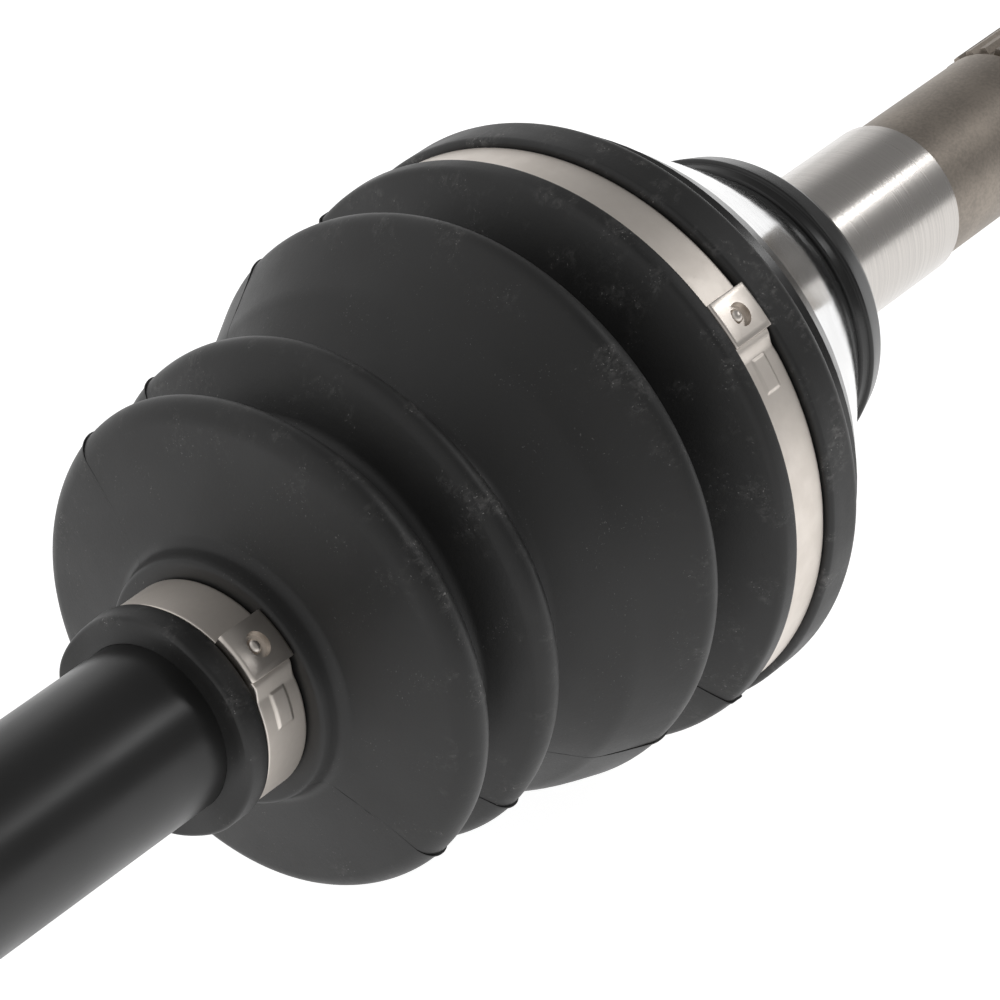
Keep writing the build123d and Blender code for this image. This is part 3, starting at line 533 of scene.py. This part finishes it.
# ================================================================ boots
@dataclass
class Bellows:
    """A rubber boot: small cuff on the bar, lobes and valleys, and a large cuff on a housing.

    Stations are from the joint's centre, growing away from the bar.
    """

    name: str
    centre: float
    side: Side
    small_bore: float
    small_end: float
    small_band: float
    large_band: float
    large_bore: float
    large_end: float
    lobes: list[Corner]
    crests: tuple[float, ...]
    shifts: tuple[Point, ...]
    material: bpy.types.Material
    small_cuff: float = 15.0
    small_lip: float = 16.4
    large_rise: float = 2.6
    rim_rise: float = 2.2
    half_groove: float = 4.3
    rim_drop: float = 2.6
    wall: float = 2.4
    seams: tuple[float, ...] = (36.0, 216.0)

    def outside(self) -> list[Corner]:
        """Corners of the outer face, from the small cuff's open end to the large one's."""
        floor = self.large_bore + self.large_rise
        rim = floor + self.rim_rise
        small, large, half = self.small_band, self.large_band, self.half_groove
        return [
            Corner(self.small_end, self.small_bore),
            Corner(self.small_end + 0.7, self.small_lip - 0.1, 0.8),
            Corner(small - half, self.small_lip, 0.6),
            Corner(small - half, self.small_cuff, 0.2),
            Corner(small + half, self.small_cuff, 0.2),
            Corner(small + half, self.lobes[0].r, 0.7),
            *self.lobes[1:-1],
            Corner(large - half, rim + 0.1, 0.6),
            Corner(large - half, floor, 0.2),
            Corner(large + half, floor, 0.2),
            Corner(large + half, rim, 0.9),
            Corner(self.large_end - 1.2, rim, 2.0),
            Corner(self.large_end, rim - self.rim_drop, 0.8),
            Corner(self.large_end, self.large_bore),
        ]

    def inside(self) -> list[Corner]:
        """Corners of the inner face, in the same order."""
        inner = inside_of(self.lobes, self.wall)
        return [
            Corner(self.small_end, self.small_bore),
            Corner(self.lobes[1].x - 1.5, self.small_bore),
            *inner[1:-1],
            Corner(self.lobes[-1].x - 0.4, self.large_bore),
            Corner(self.large_end, self.large_bore),
        ]

    def placed(self, points: list[Point]) -> list[Point]:
        """Points moved from the joint's stations to the shaft's."""
        return [(self.centre + self.side.value * x, r) for x, r in points]

    def section(self) -> list[Point]:
        """The closed outline of the wall."""
        outer = divided(rounded(self.outside()), 1.6)
        inner = divided(rounded(self.inside(), 0.8), 3.0)
        return self.placed(outer + inner[-2:0:-1])

    def crest(self, x: float, r: float, turn: float) -> float:
        """How much a spot stands out of the lobes, from 0 in a valley to 1 on a crest or a lip."""
        station = (x - self.centre) * self.side.value
        if station < self.small_band - self.half_groove + 0.2:
            return smooth(self.small_cuff, self.small_lip, r)
        if station > self.large_band + self.half_groove - 0.2:
            return 1.5 * smooth(self.large_bore + 3.0, self.large_bore + 4.6, r)
        return max(bump(place, 4.0, station) for place in self.crests) * smooth(28, 36, r)

    def uneven(self, x: float, r: float, turn: float) -> tuple[float, float, float]:
        """The slight waviness of moulded rubber squeezed by its clamps."""
        station = (x - self.centre) * self.side.value
        free = smooth(self.small_band + 4, self.small_band + 12, station) * (
            1 - smooth(self.large_band - 9, self.large_band - 5, station)
        )
        lip = 1 - smooth(self.small_end, self.small_band - self.half_groove, station)
        outer = smooth(self.small_bore + 1.0, self.small_bore + 3.5, r)
        wave = 0.28 * math.sin(2 * turn + 0.6) + 0.16 * math.sin(5 * turn + 0.2 * station)
        ripple = 0.35 * math.sin(3 * turn + 1.1) + 0.2 * math.sin(7 * turn)
        r += free * wave + lip * outer * 0.5 * ripple
        sway = free * 0.22 * math.sin(3 * turn + 0.35 * station)
        x += self.side.value * (sway - lip * outer * (0.5 + ripple))
        return x, r, turn

    def settle(self, mesh: bmesh.types.BMesh) -> None:
        """Makes the moulding uneven and moves each lobe a little off the shaft's axis."""
        move_verts(mesh, self.uneven)
        for vert in mesh.verts:
            station = (vert.co.x / MM - self.centre) * self.side.value
            r = math.hypot(vert.co.y, vert.co.z) / MM
            height = smooth(self.small_cuff + 5, self.small_cuff + 14, r)
            for place, (across, up) in zip(self.crests, self.shifts):
                share = height * bump(place, 6.5, station) * MM
                vert.co.y += across * share
                vert.co.z += up * share

    def build(self) -> bpy.types.Object:
        """The boot in one piece."""
        mesh = spun(self.section())
        wear_layer(mesh, self.crest)
        self.settle(mesh)
        made = piece(self.name, mesh, 60)
        made.data.materials.append(self.material)
        return made

    def halves(self, split: float) -> tuple[bpy.types.Object, bpy.types.Object]:
        """The boot in two closed pieces that meet in a plane at a station."""
        made = []
        for name, keep in (("small", 1), ("large", -1)):
            mesh = spun(self.section())
            wear_layer(mesh, self.crest)
            plane = Vector(((self.centre + self.side.value * split) * MM, 0, 0))
            cutting = bmesh.ops.bisect_plane(
                mesh,
                geom=[*mesh.verts, *mesh.edges, *mesh.faces],
                dist=1e-7,
                plane_co=plane,
                plane_no=(self.side.value * keep, 0, 0),
                clear_outer=True,
            )
            rim = [part for part in cutting["geom_cut"] if isinstance(part, bmesh.types.BMEdge)]
            bmesh.ops.bridge_loops(mesh, edges=rim)
            bmesh.ops.recalc_face_normals(mesh, faces=mesh.faces)
            self.settle(mesh)
            half = piece(f"{self.name}_{name}_end", mesh, 60)
            half.data.materials.append(self.material)
            made.append(half)
        return made[0], made[1]

    def seam(self, azimuth: float, number: int) -> bpy.types.Object:
        """A mould's parting ridge along the outer face."""
        outer = divided(rounded(self.outside()[1:-1]), 1.2)
        keep = [spot for spot in outer if self.small_band + 4.6 < spot[0] < self.large_band - 4.6]
        tops = [self.crest(self.centre + x * self.side.value, r, 0.0) for x, r in keep]
        proud = [(x, r + 0.02 + 0.3 * top) for (x, r), top in zip(keep, tops)]
        sunk = [(x, r - 0.5) for x, r in keep]
        width = math.radians(0.45)
        mesh = spun(self.placed(proud + sunk[::-1]), width, math.radians(azimuth) - width / 2, 2)
        self.settle(mesh)
        made = piece(f"{self.name}_seam_{number}", mesh, 60)
        made.data.materials.append(self.material)
        return made


# ================================================================ clamps
@dataclass
class Clamp:
    """A steel band with its folded buckle, at one boot groove."""

    name: str
    azimuth: float
    body: str
    material: bpy.types.Material
    buckle_material: bpy.types.Material
    strip: float = 0.8
    plate_along: float = 6.9
    plate_across: float = 8.5
    plate_height: float = 1.75
    hole: float = 1.75
    hole_depth: float = 0.95
    lip: float = 0.75
    tail_start: float = 3.9
    tail_end: float = 6.4
    mark_start: float = 6.2
    mark_length: float = 5.0
    mark_width: float = 2.8
    fold_reach: float = 15.0
    plate_sunk: float = 0.45
    plate_roll: float = 0.62
    punch_length: float = 2.0
    middle: float = field(init=False)
    half: float = field(init=False)
    rim: float = field(init=False)

    def __post_init__(self) -> None:
        """Reads the band's place from the frame."""
        low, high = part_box(f"{self.name}_band")
        self.middle = (low.x + high.x) / 2 / MM
        self.half = (high.x - low.x) / 2 / MM
        self.rim = high.z / MM

    def relief(self, along: float, across: float) -> float:
        """Height of the band's face over its plain level, past the buckle.

        Args:
            along: distance round the band from the buckle's middle.
            across: distance along the shaft from the band's middle.

        Returns:
            The height in millimetres.
        """
        if along < 1.0:
            return 0.0
        step = self.lip * (1 - smooth(self.tail_start, self.tail_end, along))
        centre = self.mark_start + self.mark_length / 2
        edge = max(abs(along - centre) - self.mark_length / 2, abs(across) - self.mark_width / 2)
        return step + 0.2 * (1 - smooth(-0.2, 0.2, edge))

    def band(self) -> bpy.types.Object:
        """The strip round the boot, with a raised tail past the buckle, a narrowed neck and a pressed
        mark.
        """
        bore = self.rim - self.strip
        soft = 0.22
        corners = [
            Corner(self.middle, bore),
            Corner(self.middle + self.half, bore, soft),
            Corner(self.middle + self.half, self.rim, soft),
            Corner(self.middle - self.half, self.rim, soft),
            Corner(self.middle - self.half, bore, soft),
            Corner(self.middle, bore),
        ]
        outline = divided(rounded(corners, 0.1), 0.2)[:-1]
        start = math.radians(self.azimuth)
        fine = self.fold_reach / self.rim
        mesh = bmesh.new()
        across = Vector((0, math.cos(start), math.sin(start)))
        verts = [mesh.verts.new(Vector((x * MM, 0, 0)) + across * (r * MM)) for x, r in outline]
        edges = [mesh.edges.new((a, b)) for a, b in zip(verts, verts[1:] + verts[:1])]
        first = bmesh.ops.spin(mesh, geom=verts + edges, axis=(1, 0, 0), angle=fine, steps=100)
        rest = FULL_TURN - fine
        bmesh.ops.spin(mesh, geom=first["geom_last"], axis=(1, 0, 0), angle=rest, steps=150)
        bmesh.ops.remove_doubles(mesh, verts=mesh.verts, dist=1e-6)
        bmesh.ops.recalc_face_normals(mesh, faces=mesh.faces)

        def fold(x: float, r: float, turn: float) -> tuple[float, float, float]:
            """Raises the tail and narrows its neck."""
            along = ((turn - start) % FULL_TURN) * self.rim
            if along > self.fold_reach:
                return x, r, turn
            side = x - self.middle
            neck = 1 - 0.06 * bump(5.0, 1.4, along)
            top = smooth(bore + 0.3, self.rim - 0.1, r)
            return self.middle + side * neck, r + top * self.relief(along, side), turn

        move_verts(mesh, fold)
        made = piece(f"{self.name}_clamp_band", mesh, 50)
        return self.finish(made, f"{self.name}_band", self.material)

    def buckle(self) -> bpy.types.Object:
        """The folded plate with a punched hole and the dimple seen through it."""
        mesh = bmesh.new()
        bmesh.ops.create_cube(mesh, size=1.0)
        height = self.plate_height + self.plate_sunk
        bmesh.ops.scale(mesh, vec=(self.plate_across, self.plate_along, height), verts=mesh.verts)
        bmesh.ops.translate(mesh, vec=(0, 0, height / 2 - self.plate_sunk), verts=mesh.verts)
        top = [edge for edge in mesh.edges if min(vert.co.z for vert in edge.verts) > 0]
        rolled = [edge for edge in top if abs(edge.verts[0].co.x - edge.verts[1].co.x) < 0.1]
        rule = {"profile": 0.5, "affect": "EDGES", "material": -1, "clamp_overlap": True}
        bmesh.ops.bevel(mesh, geom=rolled, offset=self.plate_roll, segments=5, **rule)
        crisp = [edge for edge in mesh.edges if edge.calc_face_angle(0) > math.radians(50)]
        bmesh.ops.bevel(mesh, geom=crisp, offset=0.12, segments=2, **rule)
        plate = piece(f"{self.name}_clamp_buckle", mesh, 40)
        tool = bmesh.new()
        narrow, wide = self.hole * 0.96, self.hole * 1.04
        bmesh.ops.create_cone(
            tool, cap_ends=True, segments=40, radius1=narrow, radius2=wide, depth=self.punch_length
        )
        bottom = self.plate_height - self.hole_depth
        bmesh.ops.translate(tool, vec=(0, 0, bottom + self.punch_length / 2), verts=tool.verts)
        cut(plate, piece("buckle_punch", tool))
        mesh = bmesh.new()
        mesh.from_mesh(plate.data)
        bmesh.ops.remove_doubles(mesh, verts=mesh.verts, dist=1e-5)
        cuts = 8
        for number in range(1, cuts):
            at = self.plate_along * (number / cuts - 0.5)
            everything = [*mesh.verts, *mesh.edges, *mesh.faces]
            bmesh.ops.bisect_plane(
                mesh, geom=everything, dist=1e-5, plane_co=(0, at, 0), plane_no=(0, 1, 0)
            )
        dimple = bmesh.ops.create_uvsphere(mesh, u_segments=32, v_segments=20, radius=self.hole * 0.6)
        bmesh.ops.scale(mesh, vec=(1, 1, 0.85), verts=dimple["verts"])
        bmesh.ops.translate(mesh, vec=(-0.3, -0.1, bottom + 0.1), verts=dimple["verts"])
        start = math.radians(self.azimuth)
        for vert in mesh.verts:
            turn, r = start + vert.co.y / self.rim, self.rim + vert.co.z
            vert.co = Vector((self.middle + vert.co.x, r * math.cos(turn), r * math.sin(turn))) * MM
        bmesh.ops.recalc_face_normals(mesh, faces=mesh.faces)
        mesh.to_mesh(plate.data)
        mesh.free()
        plate.data.shade_smooth()
        plate.data.set_sharp_from_angle(angle=math.radians(35))
        return self.finish(plate, f"{self.name}_buckle", self.buckle_material)

    def finish(self, made: bpy.types.Object, node: str, material: bpy.types.Material) -> bpy.types.Object:
        """Dresses a piece of the clamp and ties it to the frame."""
        made.data.materials.clear()
        made.data.materials.append(material)
        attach(made, self.body)
        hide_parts(node)
        return made


# ================================================================ studio
@dataclass(frozen=True)
class Studio:
    """Plain pale floor, soft light all round, one long key lamp and the camera."""

    eye: tuple[float, float, float] = (-0.33126, -0.38352, 0.40855)
    look: tuple[float, float, float] = (0.670089, 0.505870, -0.543210)
    lens: float = 192.86
    floor_glow: float = 0.94
    floor_shade: float = 0.45
    sky: float = 1.12
    camera_side: float = 0.6
    key_side: float = 0.3
    key_from: tuple[float, float, float] = (0.67, -0.43, 0.61)
    key_power: float = 1.5

    def camera(self) -> None:
        """Places the camera."""
        data = bpy.data.cameras.new("camera")
        data.lens = self.lens
        data.sensor_width = 36.0
        data.clip_start = 0.02
        camera = bpy.data.objects.new("camera", data)
        bpy.context.scene.collection.objects.link(camera)
        camera.location = self.eye
        camera.rotation_euler = Vector(self.look).to_track_quat("-Z", "Y").to_euler()
        bpy.context.scene.camera = camera

    def floor(self) -> None:
        """A pale glowing table under the shaft, as a light table is."""
        level = min(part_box(name)[0].z for name in frame["nodes"])
        mesh = bmesh.new()
        bmesh.ops.create_circle(mesh, cap_ends=True, segments=96, radius=6.0)
        bmesh.ops.translate(mesh, vec=(0, 0, level - 0.0004), verts=mesh.verts)
        made = piece("floor", mesh)
        s = Shader("floor_white")
        s.set(Base_Color=grey(self.floor_shade), Roughness=0.9, Specular_IOR_Level=0.1)
        s.set(Emission_Color=grey(1.0), Emission_Strength=self.floor_glow)
        made.data.materials.append(s.material)

    def light(self) -> None:
        """The sky, dimmer behind the camera and round the key, and the key at the wheel end."""
        world = bpy.data.worlds.new("studio")
        bpy.context.scene.world = world
        world.use_nodes = True
        tree = world.node_tree
        tree.nodes.clear()
        out = tree.nodes.new("ShaderNodeOutputWorld")
        glow = tree.nodes.new("ShaderNodeBackground")
        tree.links.new(glow.outputs["Background"], out.inputs["Surface"])
        place = tree.nodes.new("ShaderNodeTexCoord").outputs["Generated"]
        strength: Optional[Socket] = None
        for facing, reach, dimmed in (
            (-Vector(self.look), 0.55, self.camera_side),
            (Vector(self.key_from).normalized(), 0.3, self.key_side),
        ):
            aim = tree.nodes.new("ShaderNodeVectorMath")
            aim.operation = "DOT_PRODUCT"
            aim.inputs[1].default_value = facing
            tree.links.new(place, aim.inputs[0])
            ease = tree.nodes.new("ShaderNodeMapRange")
            ease.interpolation_type = "SMOOTHSTEP"
            ease.inputs["From Min"].default_value = reach
            ease.inputs["From Max"].default_value = reach + 0.4
            ease.inputs["To Min"].default_value = 1.0
            ease.inputs["To Max"].default_value = dimmed
            tree.links.new(aim.outputs["Value"], ease.inputs["Value"])
            join = tree.nodes.new("ShaderNodeMath")
            join.operation = "MULTIPLY"
            tree.links.new(ease.outputs["Result"], join.inputs[0])
            if strength:
                tree.links.new(strength, join.inputs[1])
            else:
                join.inputs[1].default_value = self.sky
            strength = join.outputs["Value"]
        tree.links.new(strength, glow.inputs["Strength"])
        lamp = bpy.data.lights.new("key", "AREA")
        lamp.shape = "RECTANGLE"
        lamp.size, lamp.size_y = 0.6, 0.1
        lamp.energy = self.key_power
        key = bpy.data.objects.new("key", lamp)
        bpy.context.scene.collection.objects.link(key)
        aim_from = Vector(self.key_from) * 1.3
        key.location = Vector((0.15, 0, 0)) + aim_from
        key.rotation_euler = (-aim_from).to_track_quat("-Z", "Y").to_euler()
        bpy.context.scene.view_settings.view_transform = "Standard"

    def build(self) -> None:
        """Sets the whole stage."""
        self.camera()
        self.floor()
        self.light()


# ================================================================ the half-shaft
@dataclass
class HalfShaft:
    """The whole object, in the order that it is dressed."""

    rubber: bpy.types.Material
    band_steel: bpy.types.Material
    buckle_steel: bpy.types.Material
    shield_height: float = 5.85

    def boots(self) -> None:
        """Both boots: the wheel boot in one piece with its mould seams, the inner boot in two halves."""
        low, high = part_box("outboard_boot")
        outer = Bellows(
            name="wheel_boot",
            centre=JOINT_STATION,
            side=Side.WHEEL,
            small_bore=12.52,
            small_end=low.x / MM - JOINT_STATION,
            small_band=-90.4,
            large_band=-10.9,
            large_bore=40.4,
            large_end=high.x / MM - JOINT_STATION,
            lobes=[
                Corner(-85.6, 18.2),
                Corner(-82.4, 19.0, 2.0),
                Corner(-78.2, 41.7, 3.4),
                Corner(-68.6, 27.8, 2.0),
                Corner(-62.2, 40.4, 2.8),
                Corner(-54.5, 29.5, 3.0),
                Corner(-44.5, 38.6, 8.0),
                Corner(-33.2, 44.4, 3.6),
                Corner(-25.2, 31.2, 2.2),
                Corner(-18.2, 44.9, 1.6),
                Corner(-16.0, 43.4),
            ],
            crests=(-77.0, -62.0, -33.4, -17.8),
            shifts=((-0.7, 1.6), (-0.3, 2.0), (-1.3, 3.2), (-0.3, 0.9)),
            material=self.rubber,
        )
        boot = outer.build()
        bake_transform(boot)
        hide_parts("outboard_boot")
        for number, azimuth in enumerate(outer.seams, 1):
            ridge = outer.seam(azimuth, number)
            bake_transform(ridge)
        low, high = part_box("inboard_boot")
        inner = Bellows(
            name="inner_boot",
            centre=-JOINT_STATION,
            side=Side.DIFFERENTIAL,
            small_bore=12.8,
            small_end=-JOINT_STATION - high.x / MM,
            small_band=-95.0,
            large_band=-22.4,
            large_bore=37.3,
            large_end=-JOINT_STATION - low.x / MM,
            lobes=[
                Corner(-90.2, 18.0),
                Corner(-86.4, 18.6, 2.0),
                Corner(-81.8, 29.0, 2.6),
                Corner(-74.8, 20.8, 2.2),
                Corner(-67.4, 33.0, 2.8),
                Corner(-59.4, 23.4, 2.4),
                Corner(-50.8, 37.4, 3.0),
                Corner(-41.4, 28.6, 2.6),
                Corner(-30.1, 40.9, 1.6),
                Corner(-27.5, 39.5),
            ],
            rim_rise=0.5,
            wall=1.5,
            crests=(-81.0, -67.4, -50.8, -30.1),
            shifts=((0.0, 0.4), (0.0, 0.5), (0.0, 0.3), (0.0, 0.0)),
            material=self.rubber,
        )
        small, large = inner.halves(-46.5)
        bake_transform(small)
        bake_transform(large)
        for half in (small, large):
            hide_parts("inboard_boot")

    def clamps(self) -> None:
        """The four band clamps."""
        for name, azimuth, body in (
            ("outboard_small", 130.0, "bar"),
            ("outboard_large", 134.0, "wheel_joint"),
            ("inboard_small", 46.0, "bar"),
            ("inboard_large", 46.0, "differential_joint"),
        ):
            made = Clamp(name, azimuth, body, self.band_steel, self.buckle_steel)
            made.band()
            made.buckle()

    def shield(self) -> None:
        """The pressed ring behind the bell's cone: a stepped front edge and a tapered skirt."""
        low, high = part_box("outboard_dust_shield")
        front, back, rim = low.x / MM, high.x / MM, high.z / MM
        seat = rim - self.shield_height
        corners = [
            Corner(front, seat),
            Corner(front, rim - 0.8, 0.4),
            Corner(front + 1.6, rim - 0.7, 0.2),
            Corner(front + 1.8, rim, 0.5),
            Corner(back - 1.6, rim - 1.3, 2.0),
            Corner(back, rim - 2.6, 0.5),
            Corner(back, seat),
        ]
        ring = piece("dust_shield_ring", spun(divided(rounded(corners, 0.1), 1.5), steps=256), 40)
        ring.data.materials.append(Painted("shield_black", 0.008, 0.26, 0.5, 0.003, 0.35).build())
        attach(ring, "wheel_joint")
        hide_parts("outboard_dust_shield")

    def steel(self) -> None:
        """Finishes of the turned pieces."""
        finishes = {
            "bar_finish": Painted("bar_satin_black", 0.011, 0.34, 0.3, 0.006, 0.3),
            "bell_steel": BellSteel(),
            "shield_finish": Painted("shield_black", 0.009, 0.3, 0.5, 0.006, 0.35),
            "housing_steel": Turned("housing_turned", 0.34, 0.05, 0.34, 0.25, 0.006),
            "ball_steel": Turned("ball_polished", 0.62, 0.01, 0.08, 0.4, 0.001),
            "roller_steel": Turned("roller_ground", 0.6, 0.02, 0.16, 0.2, 0.002),
            "race_steel": Turned("race_hardened", 0.42, 0.04, 0.26, 0.3, 0.004),
            "ring_steel": Turned("ring_phosphated", 0.12, 0.02, 0.45, 0.4, 0.004),
        }
        slots = {part["node"]: part["material_slot"] for part in frame["record"]["subparts"]}
        materials = {slot: finish.build() for slot, finish in finishes.items()}
        materials |= {"boot_rubber": self.rubber, "clamp_steel": self.band_steel}
        for slot, material in materials.items():
            for name, node in frame["nodes"].items():
                if slots[name] == slot:
                    node.data.materials.clear()
                    node.data.materials.append(material)
                    log.info("%s: %s", name, material.name)


def main() -> None:
    """Builds the object and its studio."""
    logging.basicConfig(level=logging.INFO, format="%(message)s")
    shaft = HalfShaft(
        rubber=Rubber("boot_rubber_moulded").build(),
        band_steel=BandSteel().build(),
        buckle_steel=BandSteel("buckle_pressed", 0.64, 0.3).build(),
    )
    shaft.steel()
    shaft.boots()
    shaft.clamps()
    shaft.shield()
    Studio().build()


if __name__ == "__main__":
    main()
